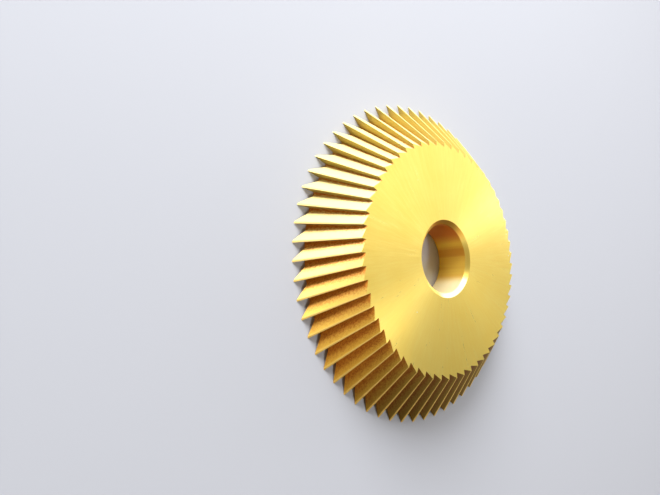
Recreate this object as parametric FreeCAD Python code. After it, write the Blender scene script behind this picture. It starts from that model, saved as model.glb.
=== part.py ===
import FreeCAD, Part
import math
import os

from FreeCAD import Vector

# A one-piece milling wheel for cutting key blanks: a short cone with straight-sided
# saw teeth, a flat clamping face on each end and a plain bore for the arbor.
# The axis is Z, the large end lies on Z = 0 and the small face looks up.
# All lengths are in millimetres and all angles in degrees.

# Body
OUTER_DIAMETER = 60.0         # over the tooth tips at the large end
FACE_DIAMETER = 43.4          # over the tooth tips at the small face
THICKNESS = 7.3               # from the large end to the small face

# Teeth
TOOTH_COUNT = 60
SKEW = 3.0                    # how far a cutting edge runs round from the small face to the large end
LARGE_GULLET_DEPTH = 2.4
FACE_GULLET_DEPTH = 0.9
RAKE = 9.0                    # how far the rake leans back at the large end, 0 at the small face
LARGE_LAND = 0.30             # narrow flat behind the cutting edge
FACE_LAND = 0.12
GULLET_FLOOR = 0.12           # width of the blunt root of each gullet

# End relief: each tooth's end falls away behind its cutting corner
END_RELIEF = 18.0
END_MARGIN = 0.25             # width of the flat left beside the rake
RELIEF_INSET = 0.15           # how far the relief reaches below the gullet floors

# Arbor bore
BORE_DIAMETER = 12.7
BORE_CHAMFER_WIDTH = 0.8
BORE_CHAMFER_DEPTH = 0.6

# How far each cutting shape reaches past the surface that it cuts
CUT_PAST = 1.0

PITCH = 360.0 / TOOTH_COUNT
OUTER_RADIUS = OUTER_DIAMETER / 2
FACE_RADIUS = FACE_DIAMETER / 2
LARGE_ROOT_RADIUS = OUTER_RADIUS - LARGE_GULLET_DEPTH
FACE_ROOT_RADIUS = FACE_RADIUS - FACE_GULLET_DEPTH
BORE_RADIUS = BORE_DIAMETER / 2


def polar(radius, angle, z=0.0):
    turn = math.radians(angle)
    return Vector(radius * math.cos(turn), radius * math.sin(turn), z)


def arc_angle(length, radius):
    return math.degrees(length / radius)


def rake_setback(tip_radius, root_radius, rake):
    """Angle round the axis from a tip back to the foot of its rake."""
    offset = (tip_radius - root_radius) * math.tan(math.radians(rake))
    return arc_angle(offset, root_radius)


def tooth_outline(tip_radius, root_radius, land, rake, start, z):
    """Closed saw-tooth outline: foot, gullet floor, heel of the land and tip of each tooth."""
    setback = rake_setback(tip_radius, root_radius, rake)
    floor = arc_angle(GULLET_FLOOR, root_radius)
    heel = arc_angle(land, tip_radius)
    points = []
    for tooth in range(TOOTH_COUNT):
        tip = start + tooth * PITCH
        points.append(polar(root_radius, tip - PITCH - setback, z))
        points.append(polar(root_radius, tip - PITCH - setback + floor, z))
        points.append(polar(tip_radius, tip - heel, z))
        points.append(polar(tip_radius, tip, z))
    points.append(points[0])
    return Part.makePolygon(points)


def toothed_body():
    large_end = tooth_outline(OUTER_RADIUS, LARGE_ROOT_RADIUS, LARGE_LAND, RAKE, SKEW, 0.0)
    small_face = tooth_outline(FACE_RADIUS, FACE_ROOT_RADIUS, FACE_LAND, 0.0, 0.0, THICKNESS)
    return Part.makeLoft([large_end, small_face], True, True)


def end_relief(tooth):
    """Wedge below one tooth, from its margin to the next gullet, outside the gullet roots."""
    tip = SKEW + tooth * PITCH
    setback = rake_setback(OUTER_RADIUS, LARGE_ROOT_RADIUS, RAKE)
    inner = LARGE_ROOT_RADIUS - RELIEF_INSET
    foot = tip - setback
    start = foot - arc_angle(END_MARGIN, inner)
    high = polar(inner, start)
    low = polar(inner, foot - PITCH)
    rise = (low - high).Length * math.tan(math.radians(END_RELIEF))
    below = Vector(0, 0, -CUT_PAST)
    lifted = low + Vector(0, 0, rise)
    section = Part.makePolygon([high, high + below, low + below, lifted, high])
    along_rake = polar(OUTER_RADIUS, tip) - polar(LARGE_ROOT_RADIUS, foot)
    reach = along_rake * ((LARGE_GULLET_DEPTH + 2 * CUT_PAST) / LARGE_GULLET_DEPTH)
    return Part.Face(section).extrude(reach)


def bore_cutter():
    """Solid of revolution with the bore and its two chamfers."""
    wide = BORE_RADIUS + BORE_CHAMFER_WIDTH
    slope = BORE_CHAMFER_WIDTH / BORE_CHAMFER_DEPTH
    mouth = wide + slope * CUT_PAST
    profile = Part.makePolygon([
        Vector(0, 0, -CUT_PAST),
        Vector(mouth, 0, -CUT_PAST),
        Vector(BORE_RADIUS, 0, BORE_CHAMFER_DEPTH),
        Vector(BORE_RADIUS, 0, THICKNESS - BORE_CHAMFER_DEPTH),
        Vector(mouth, 0, THICKNESS + CUT_PAST),
        Vector(0, 0, THICKNESS + CUT_PAST),
        Vector(0, 0, -CUT_PAST),
    ])
    return Part.Face(profile).revolve(Vector(0, 0, 0), Vector(0, 0, 1), 360)


def cutting_wheel():
    reliefs = [end_relief(tooth) for tooth in range(TOOTH_COUNT)]
    return toothed_body().cut(reliefs + [bore_cutter()])


os.makedirs("parts", exist_ok=True)
wheel = cutting_wheel()
wheel.exportStep("parts/cutting_wheel.step")
print("solids", len(wheel.Solids), "valid", wheel.isValid(), "volume", round(wheel.Volume, 2))
print("box", wheel.BoundBox)
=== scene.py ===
import math

import bpy
from mathutils import Matrix, Vector

# Lengths are in millimetres and angles in degrees. Azimuth 0 is +X and azimuth 90 is +Y.
# Colours are linear.
MM = 0.001

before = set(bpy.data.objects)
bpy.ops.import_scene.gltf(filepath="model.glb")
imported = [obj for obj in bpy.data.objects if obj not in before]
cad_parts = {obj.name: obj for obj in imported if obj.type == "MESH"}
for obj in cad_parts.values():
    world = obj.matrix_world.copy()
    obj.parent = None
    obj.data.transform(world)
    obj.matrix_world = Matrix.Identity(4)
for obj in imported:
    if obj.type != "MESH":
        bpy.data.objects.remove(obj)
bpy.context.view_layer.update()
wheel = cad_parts["cutting_wheel"]

# Sizes of the wheel, measured on the frame
DIGITS = 3                     # decimals of a millimetre that are kept
ON_FACE = 0.01                 # corners this close to the small face's plane lie on it
corners = [vertex.co / MM for vertex in wheel.data.vertices]
THICKNESS = round(max(corner.z for corner in corners), DIGITS)
radii = [corner.xy.length for corner in corners]
face_radii = [corner.xy.length for corner in corners if corner.z > THICKNESS - ON_FACE]
OUTER_RADIUS = round(max(radii), DIGITS)
BORE_RADIUS = round(min(radii), DIGITS)
FACE_TIP_RADIUS = round(max(face_radii), DIGITS)
CHAMFER_RADIUS = round(min(face_radii), DIGITS)

# Teeth: the first cutting edge starts on +X at the small face
TOOTH_COUNT = 60
SKEW = 3.0                     # how far a cutting edge runs round from the small face to the large end
FACE_GULLET_DEPTH = 0.9
LARGE_GULLET_DEPTH = 2.4
PITCH = 360 / TOOTH_COUNT
FACE_ROOT_RADIUS = FACE_TIP_RADIUS - FACE_GULLET_DEPTH
LARGE_ROOT_RADIUS = OUTER_RADIUS - LARGE_GULLET_DEPTH

# Sides where light and shade are painted into the colour: azimuth, then the cosines of the
# angle from it where the difference starts and where it is full
PAINTED_BROWN_SHADE_SIDE = (70, -0.3, 0.85)
PAINTED_SHADE_SIDE = (105, 0.35, 0.9)
BORE_PAINTED_SHADE_SIDE = (-105, 0.62, 0.88)
BORE_PAINTED_HIGHLIGHT_SIDE = (105, 0.72, 0.93)
BORE_PAINTED_REFLECTION = (-171, 0.985, 0.998)

# Values that most of a noise lies between
NOISE_SPAN = (0.3, 0.7)

# Marks left by turning and boring
RIDGES_PER_MM = 9.0


def direction(azimuth, elevation):
    a, e = math.radians(azimuth), math.radians(elevation)
    return Vector((math.cos(a) * math.cos(e), math.sin(a) * math.cos(e), math.sin(e)))


class Nodes:
    """Short calls that add shader nodes to one tree and return their output sockets."""

    def __init__(self, tree):
        self.tree = tree

    def add(self, kind, inputs=None, **settings):
        node = self.tree.nodes.new(kind)
        for name, value in settings.items():
            setattr(node, name, value)
        for name, value in (inputs or {}).items():
            self.put(node.inputs[name], value)
        return node

    def put(self, socket, value):
        """Links an output socket to an input, or sets the input's plain value."""
        if isinstance(value, bpy.types.NodeSocket):
            self.tree.links.new(value, socket)
        else:
            socket.default_value = value

    def math(self, operation, *values):
        node = self.add("ShaderNodeMath", dict(enumerate(values)), operation=operation)
        return node.outputs[0]

    def vector_math(self, operation, *values):
        node = self.add("ShaderNodeVectorMath", dict(enumerate(values)), operation=operation)
        return node.outputs["Value" if operation == "DOT_PRODUCT" else "Vector"]

    def scaled(self, vector, factor):
        node = self.add("ShaderNodeVectorMath", {0: vector, "Scale": factor}, operation="SCALE")
        return node.outputs["Vector"]

    def vector(self, x, y, z):
        return self.add("ShaderNodeCombineXYZ", {0: x, 1: y, 2: z}).outputs[0]

    def remap(self, value, low, high, to_low=0.0, to_high=1.0, smooth=False):
        kind = "SMOOTHSTEP" if smooth else "LINEAR"
        inputs = {"Value": value, "From Min": low, "From Max": high, "To Min": to_low, "To Max": to_high}
        return self.add("ShaderNodeMapRange", inputs, interpolation_type=kind).outputs["Result"]

    def mix(self, factor, first, second):
        """Colour or vector that is first at factor 0 and second at factor 1."""
        return self.add("ShaderNodeMix", {0: factor, 6: first, 7: second}, data_type="RGBA").outputs[2]

    def blend(self, factor, first, second):
        """Plain number that is first at factor 0 and second at factor 1."""
        return self.add("ShaderNodeMix", {0: factor, 2: first, 3: second}, data_type="FLOAT").outputs[0]

    def noise(self, vector, scale, detail, roughness):
        inputs = {"Vector": vector, "Scale": scale, "Detail": detail, "Roughness": roughness}
        return self.add("ShaderNodeTexNoise", inputs).outputs["Fac"]

    def ridges(self, length, texture):
        """Noise that changes along one length only, such as the radius, where it makes rings."""
        return self.noise(self.vector(self.math("MULTIPLY", length, RIDGES_PER_MM), 0.0, 0.0), *texture)


class Place:
    """Where a point lies on the wheel: radius, height, way outward, and place on its tooth."""

    def __init__(self, n):
        self.n = n
        self.point = n.scaled(n.add("ShaderNodeTexCoord").outputs["Object"], 1 / MM)
        x, y, z = n.add("ShaderNodeSeparateXYZ", {0: self.point}).outputs
        self.z = z
        self.radius = n.math("SQRT", n.math("ADD", n.math("MULTIPLY", x, x), n.math("MULTIPLY", y, y)))
        self.outward = n.vector_math("NORMALIZE", n.vector(x, y, 0.0))
        around = n.vector_math("CROSS_PRODUCT", (0, 0, 1), self.outward)
        normal = n.add("ShaderNodeNewGeometry").outputs["Normal"]
        self.normal_up = n.vector_math("DOT_PRODUCT", normal, (0, 0, 1))
        self.normal_round = n.vector_math("DOT_PRODUCT", normal, around)

        # share is 0 at the small face and 1 at the large end
        self.share = n.math("SUBTRACT", 1.0, n.math("DIVIDE", z, THICKNESS))
        # rise is 0 at the gullet's root and 1 at the cutting edge
        root = n.blend(self.share, FACE_ROOT_RADIUS, LARGE_ROOT_RADIUS)
        tip = n.blend(self.share, FACE_TIP_RADIUS, OUTER_RADIUS)
        self.rise = n.remap(self.radius, root, tip)
        self.tooth = self.tooth_number(x, y)

    def tooth_number(self, x, y):
        """Teeth counted round from the first cutting edge, which is straight and skewed."""
        n = self.n
        turn = math.radians(SKEW)
        edge_y = n.math("MULTIPLY", self.share, OUTER_RADIUS * math.sin(turn))
        edge_x = n.blend(self.share, FACE_TIP_RADIUS, OUTER_RADIUS * math.cos(turn))
        angle = n.math("SUBTRACT", n.math("ARCTAN2", y, x), n.math("ARCTAN2", edge_y, edge_x))
        return n.math("FLOOR", n.math("DIVIDE", angle, math.radians(PITCH)))

    def side(self, azimuth, start, full):
        """Mask that is 1 on the side at an azimuth and fades to 0 away from it."""
        cosine = self.n.vector_math("DOT_PRODUCT", self.outward, tuple(direction(azimuth, 0)))
        return self.n.remap(cosine, start, full, smooth=True)

    def wrapped(self, circle, length, per_mm):
        """Noise coordinates that close on themselves round the axis and also run along a length."""
        along = self.n.vector(0.0, 0.0, self.n.math("MULTIPLY", length, per_mm))
        return self.n.vector_math("ADD", self.n.scaled(self.outward, circle), along)


class Finish:
    """Colour, gloss, height of the fine relief, and direction across the machining marks."""

    def __init__(self, colour, metallic, roughness, height, across):
        self.colour = colour
        self.metallic = metallic
        self.roughness = roughness
        self.height = height
        self.across = across

    def under(self, n, mask, other):
        """This finish, covered by the other one where the mask is 1."""
        return Finish(
            n.mix(mask, self.colour, other.colour),
            n.blend(mask, self.metallic, other.metallic),
            n.blend(mask, self.roughness, other.roughness),
            n.blend(mask, self.height, other.height),
            n.mix(mask, self.across, other.across),
        )


# Noise textures: scale, detail and roughness
SPOKE_TEXTURE = (1.0, 4.0, 0.7)
RING_TEXTURE = (1.0, 5.0, 0.8)
CLOUD_TEXTURE = (0.16, 3.0, 0.5)
LINE_TEXTURE = (2.2, 4.0, 0.65)
MOTTLE_TEXTURE = (3.0, 5.0, 0.8)
STREAK_TEXTURE = (1.0, 2.0, 0.5)
BORE_RING_TEXTURE = (1.0, 4.0, 0.7)
GRAIN_TEXTURE = (9.0, 2.0, 0.6)

# Flat faces. Scratches have the values of the noise where they start and are full, and then
# their share of the colour at those two.
FACE_GOLD = (0.94, 0.69, 0.14, 1)
FACE_CLOUD = (0.92, 0.65, 0.115, 1)
SCRATCH_DARK = (0.82, 0.50, 0.07, 1)
SCRATCH_PALE = (1.0, 0.83, 0.28, 1)
DARK_SCRATCHES = (0.45, 0.75, 0.0, 0.22)
PALE_SCRATCHES = (0.48, 0.30, 0.0, 0.2)
SPOKE_CIRCLE = 34.0            # radius of the circle in the noise that goes once round the wheel
SPOKES_PER_MM = 0.16
FACE_METALLIC = 0.82
FACE_ROUGHNESS = (0.27, 0.35)
SPOKE_HEIGHT = 1.2
RING_HEIGHT = 0.5

# Bright specks on the flat faces, one at most in each cell of a pattern
SPECK = (1.0, 0.97, 0.75, 1)
SPECK_CELLS_PER_MM = 0.3
SPECK_CHOSEN = (0.84, 0.85)    # cells whose random number is above this have a speck
SPECK_RIM = (0.045, 0.025)     # distance from the cell's point where a speck ends, in cells


def specks(n, at):
    cells = n.add("ShaderNodeTexVoronoi", {"Vector": at.point, "Scale": SPECK_CELLS_PER_MM})
    number = n.add("ShaderNodeSeparateXYZ", {0: cells.outputs["Color"]}).outputs[0]
    near = n.remap(cells.outputs["Distance"], *SPECK_RIM)
    return n.math("MULTIPLY", n.remap(number, *SPECK_CHOSEN), near)


def turned_face(n, at):
    """Flat face, turned in rings and then lapped, with faint spokes of fine scratches."""
    spokes = n.noise(at.wrapped(SPOKE_CIRCLE, at.radius, SPOKES_PER_MM), *SPOKE_TEXTURE)
    rings = n.ridges(at.radius, RING_TEXTURE)
    cloud = n.noise(at.point, *CLOUD_TEXTURE)
    colour = n.mix(n.remap(cloud, *NOISE_SPAN), FACE_GOLD, FACE_CLOUD)
    colour = n.mix(n.remap(spokes, *DARK_SCRATCHES), colour, SCRATCH_DARK)
    colour = n.mix(n.remap(spokes, *PALE_SCRATCHES), colour, SCRATCH_PALE)
    colour = n.mix(specks(n, at), colour, SPECK)
    roughness = n.remap(spokes, *NOISE_SPAN, *FACE_ROUGHNESS)
    height = n.math("ADD", n.math("MULTIPLY", spokes, SPOKE_HEIGHT), n.math("MULTIPLY", rings, RING_HEIGHT))
    return Finish(colour, FACE_METALLIC, roughness, height, at.outward)


# Teeth. Pairs of colours are for the plain side and the side with painted brown shade, unless they are
# mottled.
MOTTLED_GULLET_SHADE = ((0.62, 0.17, 0.018, 1), (0.88, 0.38, 0.04, 1))
MOTTLED_RAKE_SHADE = ((0.56, 0.44, 0.12, 1), (0.50, 0.38, 0.09, 1))
CREST = ((0.93, 0.79, 0.33, 1), (0.95, 0.58, 0.07, 1))
EDGE_WEAR_AND_HIGHLIGHT = ((0.95, 0.76, 0.30, 1), (0.95, 0.62, 0.13, 1))
GULLET_SHADE_MOTTLING = (0.38, 0.62)
RAKE_MOTTLING = (0.35, 0.65)
GULLET_SHADE_ENDS = (-0.05, 0.30)     # rise up to which a flank is brown, on the plain and the brown side
CREST_STARTS = (0.20, 1.08)    # rise where a flank has its crest's colour, on the same two sides
RAGGED = 0.22                  # how far the mottling shifts both
PAINTED_SHADE_SHARE = 0.34                  # share of the colour that is left on the dark side
EDGE_WIDTH = (0.93, 1.0)       # rise over which a flank turns into the cutting edge
RAKE_COSINES = (0.5, 0.7)      # a rake is where the normal points round the axis at least this far
TOOTH_SHIFT = 7.31             # step in the noise from tooth to tooth, so that no two are alike
LINES_ALONG = 40.0             # size of a tooth in the noise, from end to end
LINES_UP = 1.3                 # the same from root to edge
MOTTLES_ALONG = 11.0
MOTTLES_UP = 3.0
TOOTH_METALLIC = (0.25, 0.75)  # matt and satin
TOOTH_ROUGHNESS = (0.70, 0.78)
SATIN_GLOSS = 0.20


def tooth_noise(n, at, along, up, texture):
    """Noise that is read over a stretch of its own on each tooth, so long along it and so high up it."""
    shift = n.math("MULTIPLY", at.tooth, TOOTH_SHIFT)
    place = n.vector(n.math("MULTIPLY", at.share, along), n.math("MULTIPLY", at.rise, up), shift)
    return n.noise(place, *texture)


def flank_colour(n, at, painted_brown_shade, mottle):
    """Painted brown shade from the gullet's root upward, higher on the side with painted brown shade, and
    pale or golden above; darker all over where shade is painted on the dark side.
    """
    climb = n.math("ADD", at.rise, n.remap(mottle, *NOISE_SPAN, -RAGGED, RAGGED))
    climb = n.remap(climb, n.blend(painted_brown_shade, *GULLET_SHADE_ENDS), n.blend(painted_brown_shade, *CREST_STARTS), smooth=True)
    gullet_shade = n.mix(n.remap(mottle, *GULLET_SHADE_MOTTLING), *MOTTLED_GULLET_SHADE)
    flank = n.mix(climb, gullet_shade, n.mix(painted_brown_shade, *CREST))
    # Painted shade: the flanks on the side away from the light are painted darker.
    return n.mix(at.side(*PAINTED_SHADE_SIDE), flank, n.vector_math("MULTIPLY", flank, (PAINTED_SHADE_SHARE, PAINTED_SHADE_SHARE, PAINTED_SHADE_SHARE)))


def ground_teeth(n, at):
    """Teeth with fine grinding lines from root to edge, matt, but satin on the flanks of the side with
    painted brown shade.
    """
    lines = tooth_noise(n, at, LINES_ALONG, LINES_UP, LINE_TEXTURE)
    mottle = tooth_noise(n, at, MOTTLES_ALONG, MOTTLES_UP, MOTTLE_TEXTURE)
    # Painted shade: the side away from the light gets browner, darker colours; it is also the satin side.
    painted_brown_shade = at.side(*PAINTED_BROWN_SHADE_SIDE)
    on_rake = n.remap(at.normal_round, *RAKE_COSINES)
    on_edge = n.remap(at.rise, *EDGE_WIDTH, smooth=True)
    # Painted shade: the rake faces are painted a darker, duller gold than the flanks.
    rake_shade = n.mix(n.remap(mottle, *RAKE_MOTTLING), *MOTTLED_RAKE_SHADE)
    colour = n.mix(on_rake, flank_colour(n, at, painted_brown_shade, mottle), rake_shade)
    # Cutting edge: partly wear, partly a painted highlight along it.
    colour = n.mix(on_edge, colour, n.mix(painted_brown_shade, *EDGE_WEAR_AND_HIGHLIGHT))
    satin = n.math("MULTIPLY", painted_brown_shade, n.math("SUBTRACT", 1.0, n.math("MAXIMUM", on_edge, on_rake)))
    matt = n.remap(lines, *NOISE_SPAN, *TOOTH_ROUGHNESS)
    roughness = n.math("SUBTRACT", matt, n.math("MULTIPLY", satin, SATIN_GLOSS))
    widening = n.scaled(at.outward, OUTER_RADIUS - FACE_TIP_RADIUS)
    lengthwise = n.vector_math("ADD", widening, (0, 0, -THICKNESS))
    return Finish(colour, n.blend(satin, *TOOTH_METALLIC), roughness, lines, lengthwise)


# Bore and its chamfers. Streaks are given as the scratches are.
WALL_GOLD = (0.92, 0.62, 0.09, 1)
WALL_WORN_AND_REFLECTED = (0.68, 0.28, 0.03, 1)
WALL_PAINTED_SHADE = (0.66, 0.22, 0.04, 1)
WALL_PAINTED_HIGHLIGHT = (0.98, 0.84, 0.45, 1)
CHAMFER_GOLD = (0.95, 0.68, 0.13, 1)
CHAMFER_PAINTED_SHADE = (0.85, 0.44, 0.06, 1)
CHAMFER_PAINTED_HIGHLIGHT = (1.0, 0.90, 0.50, 1)
STREAK_CIRCLE = 5.0
STREAKS_PER_MM = 0.03
STREAKS = (0.45, 0.75, 0.0, 0.5)
PAINTED_REFLECTION_STRENGTH = 0.7
BORE_METALLIC = (0.65, 0.85)   # on the wall and on the chamfers
PAINTED_HIGHLIGHT_METALLIC = 0.45
BORE_ROUGHNESS = (0.30, 0.38)
CHAMFER_FOOT = (0.02, 0.06)    # how far outside the wall its finish turns into the chamfers'


def honed_bore(n, at):
    """Bore with worn streaks along the axis, a painted dark reflection stripe, painted shade that reddens
    one side and a painted highlight that makes the other side paler.
    """
    streaks = n.noise(at.wrapped(STREAK_CIRCLE, at.z, STREAKS_PER_MM), *STREAK_TEXTURE)
    rings = n.ridges(at.z, BORE_RING_TEXTURE)
    # Painted shade: the wall and chamfers on the side away from the light are painted red-brown.
    painted_shade = at.side(*BORE_PAINTED_SHADE_SIDE)
    # Painted highlight: the wall and chamfers on the side that faces the light are painted pale.
    painted_highlight = at.side(*BORE_PAINTED_HIGHLIGHT_SIDE)
    # Painted reflection: a narrow dark stripe down the wall at one azimuth, added to the worn streaks.
    painted_reflection = n.math("MULTIPLY", at.side(*BORE_PAINTED_REFLECTION), PAINTED_REFLECTION_STRENGTH)
    streaks_and_reflection = n.math("MAXIMUM", painted_reflection, n.remap(streaks, *STREAKS))
    wall = n.mix(painted_shade, n.mix(streaks_and_reflection, WALL_GOLD, WALL_WORN_AND_REFLECTED), WALL_PAINTED_SHADE)
    wall = n.mix(painted_highlight, wall, WALL_PAINTED_HIGHLIGHT)
    chamfer = n.mix(painted_highlight, n.mix(painted_shade, CHAMFER_GOLD, CHAMFER_PAINTED_SHADE), CHAMFER_PAINTED_HIGHLIGHT)
    start, end = CHAMFER_FOOT
    on_chamfer = n.remap(at.radius, BORE_RADIUS + start, BORE_RADIUS + end)
    colour = n.mix(on_chamfer, wall, chamfer)
    metallic = n.blend(painted_highlight, n.blend(on_chamfer, *BORE_METALLIC), PAINTED_HIGHLIGHT_METALLIC)
    return Finish(colour, metallic, n.blend(on_chamfer, *BORE_ROUGHNESS), rings, n.vector(0.0, 0.0, 1.0))


# Where each finish lies, and the fine relief on all of them
FLAT_COSINES = (0.96, 0.99)
FACE_DEPTH = (0.2, 0.1)        # depth below the small face over which its finish sets in
CHAMFER_RIM = (0.1, -0.02)     # how far outside the chamfer the bore's finish starts and is full
GRAIN_HEIGHT = 0.25
RELIEF = 0.02
RELIEF_STRENGTH = 0.6
ANISOTROPY = 0.7


def on_flat_faces(n, at):
    deep, shallow = FACE_DEPTH
    near_top = n.remap(at.z, THICKNESS - deep, THICKNESS - shallow)
    on_face = n.math("MULTIPLY", n.remap(at.normal_up, *FLAT_COSINES), near_top)
    on_large_end = n.remap(n.math("MULTIPLY", at.normal_up, -1.0), *FLAT_COSINES)
    return n.math("MAXIMUM", on_face, on_large_end)


def in_bore(n, at):
    outer, inner = CHAMFER_RIM
    return n.remap(at.radius, CHAMFER_RADIUS + outer, CHAMFER_RADIUS + inner)


def coated_steel():
    material = bpy.data.materials.new("coated_steel")
    material.use_nodes = True
    shader = material.node_tree.nodes["Principled BSDF"]
    n = Nodes(material.node_tree)
    at = Place(n)
    finish = ground_teeth(n, at).under(n, in_bore(n, at), honed_bore(n, at))
    finish = finish.under(n, on_flat_faces(n, at), turned_face(n, at))
    grain = n.math("MULTIPLY", n.noise(at.point, *GRAIN_TEXTURE), GRAIN_HEIGHT)
    height = n.math("ADD", finish.height, grain)
    bump = n.add("ShaderNodeBump", {"Height": height, "Distance": RELIEF * MM, "Strength": RELIEF_STRENGTH})
    n.put(shader.inputs["Base Color"], finish.colour)
    n.put(shader.inputs["Metallic"], finish.metallic)
    n.put(shader.inputs["Roughness"], finish.roughness)
    n.put(shader.inputs["Normal"], bump.outputs[0])
    n.put(shader.inputs["Tangent"], finish.across)
    shader.inputs["Anisotropic"].default_value = ANISOTROPY
    return material


CAMERA_PLACE = Vector((87.29, -1.02, 74.01)) * MM
CAMERA_AIM = Vector((28.23, -3.31, 7.38)) * MM
CAMERA_ROLL = -83.58
CAMERA_LENS = 32.21
CAMERA_SENSOR = 36
CAMERA_NEAR = 1 * MM
CAMERA_FAR = 10_000 * MM


def add_camera():
    data = bpy.data.cameras.new("camera")
    data.sensor_width = CAMERA_SENSOR
    data.lens = CAMERA_LENS
    data.clip_start = CAMERA_NEAR
    data.clip_end = CAMERA_FAR
    camera = bpy.data.objects.new("camera", data)
    bpy.context.scene.collection.objects.link(camera)
    back = (CAMERA_PLACE - CAMERA_AIM).normalized()
    level_right = Vector((0, 0, 1)).cross(back).normalized()
    level_up = back.cross(level_right)
    roll = math.radians(CAMERA_ROLL)
    up = level_up * math.cos(roll) + level_right * math.sin(roll)
    turn = Matrix((up.cross(back), up, back)).transposed().to_4x4()
    camera.matrix_world = Matrix.Translation(CAMERA_PLACE) @ turn
    bpy.context.scene.camera = camera


FLOOR_SIZE = 30_000 * MM
FLOOR_GREY = (0.50, 0.50, 0.50, 1)
FLOOR_ROUGHNESS = 0.9


def add_floor():
    material = bpy.data.materials.new("floor")
    material.use_nodes = True
    shader = material.node_tree.nodes["Principled BSDF"]
    shader.inputs["Base Color"].default_value = FLOOR_GREY
    shader.inputs["Roughness"].default_value = FLOOR_ROUGHNESS
    bpy.ops.mesh.primitive_plane_add(size=FLOOR_SIZE)
    floor = bpy.context.object
    floor.name = "floor"
    floor.data.materials.append(material)


# Softboxes: round lamps, all at one distance from the middle of the wheel's large end
SOFTBOX_DISTANCE = 400 * MM
WHITE = (1, 1, 1)
COOL = (0.95, 0.99, 1.10)
BLUISH = (0.95, 1.0, 1.3)
COOLER = (0.97, 1.0, 1.1)


def add_softbox(name, azimuth, elevation, diameter, radiance, colour):
    data = bpy.data.lights.new(name, "AREA")
    data.shape = "DISK"
    data.size = diameter * MM
    area = math.pi * (data.size / 2) ** 2
    data.energy = radiance * area * math.pi
    data.color = colour
    light = bpy.data.objects.new(name, data)
    bpy.context.scene.collection.objects.link(light)
    way = direction(azimuth, elevation)
    light.location = way * SOFTBOX_DISTANCE
    light.rotation_mode = "QUATERNION"
    light.rotation_quaternion = way.to_track_quat("Z", "Y")


# Light from the room. Heights are sines of the elevation, and spreads are cosines.
STRIP_AZIMUTH = -120
STRIP_SPREAD = (0.1, 0.6)
STRIP_RADIANCE = 1.6
STRIP_TOP = (0.5, 0.1)         # heights where the strip ends and where it is full
SKY_RADIANCE = 0.5
SKY_TOP = (0.9, 0.5)
FILL_AZIMUTH = -2
FILL_ELEVATION = 25
FILL_TIGHTNESS = 10
FILL_RADIANCE = 0.6
FILL_COLOUR = (1.0, 0.62, 0.25)
CEILING_HEIGHT = (0.4, 0.9)
CEILING_RADIANCE = 0.14
WALL_RADIANCE = 0.015


def strip_light(n, way, height):
    """Wide strip on one side, bright near the floor, with a dimmer part above it."""
    level = n.vector_math("NORMALIZE", n.vector_math("MULTIPLY", way, (1, 1, 0)))
    cosine = n.vector_math("DOT_PRODUCT", level, tuple(direction(STRIP_AZIMUTH, 0)))
    low = n.math("MULTIPLY", n.remap(height, *STRIP_TOP, smooth=True), STRIP_RADIANCE)
    high = n.math("MULTIPLY", n.remap(height, *SKY_TOP, smooth=True), SKY_RADIANCE)
    return n.math("MULTIPLY", n.remap(cosine, *STRIP_SPREAD, smooth=True), n.math("ADD", low, high))


def fill_light(n, way):
    """Soft round glow."""
    cosine = n.vector_math("DOT_PRODUCT", way, tuple(direction(FILL_AZIMUTH, FILL_ELEVATION)))
    exponent = n.math("MULTIPLY", n.math("SUBTRACT", cosine, 1.0), FILL_TIGHTNESS)
    return n.math("MULTIPLY", n.math("POWER", math.e, exponent), FILL_RADIANCE)


def add_world():
    """Room: a strip on the -X and -Y side, a warm fill on the +X side, dim walls and ceiling."""
    world = bpy.data.worlds.new("world")
    world.use_nodes = True
    n = Nodes(world.node_tree)
    way = n.add("ShaderNodeTexCoord").outputs["Generated"]
    height = n.add("ShaderNodeSeparateXYZ", {0: way}).outputs[2]
    strip = n.scaled(COOL, strip_light(n, way, height))
    fill = n.scaled(FILL_COLOUR, fill_light(n, way))
    ceiling = n.math("MULTIPLY", n.remap(height, *CEILING_HEIGHT, smooth=True), CEILING_RADIANCE)
    even = n.math("ADD", ceiling, WALL_RADIANCE)
    light = n.vector_math("ADD", n.vector_math("ADD", strip, fill), n.vector(even, even, even))
    n.put(world.node_tree.nodes["Background"].inputs["Color"], light)
    bpy.context.scene.world = world


wheel.data.materials.clear()
wheel.data.materials.append(coated_steel())
add_world()
add_camera()
add_floor()
add_softbox("key", azimuth=-74, elevation=24, diameter=220, radiance=26, colour=COOL)
add_softbox("panel", azimuth=-150, elevation=40, diameter=380, radiance=1.05, colour=WHITE)
add_softbox("low", azimuth=-171, elevation=14, diameter=60, radiance=14, colour=BLUISH)
add_softbox("high", azimuth=136, elevation=63, diameter=80, radiance=28, colour=COOLER)
bpy.context.scene.view_settings.view_transform = "Standard"
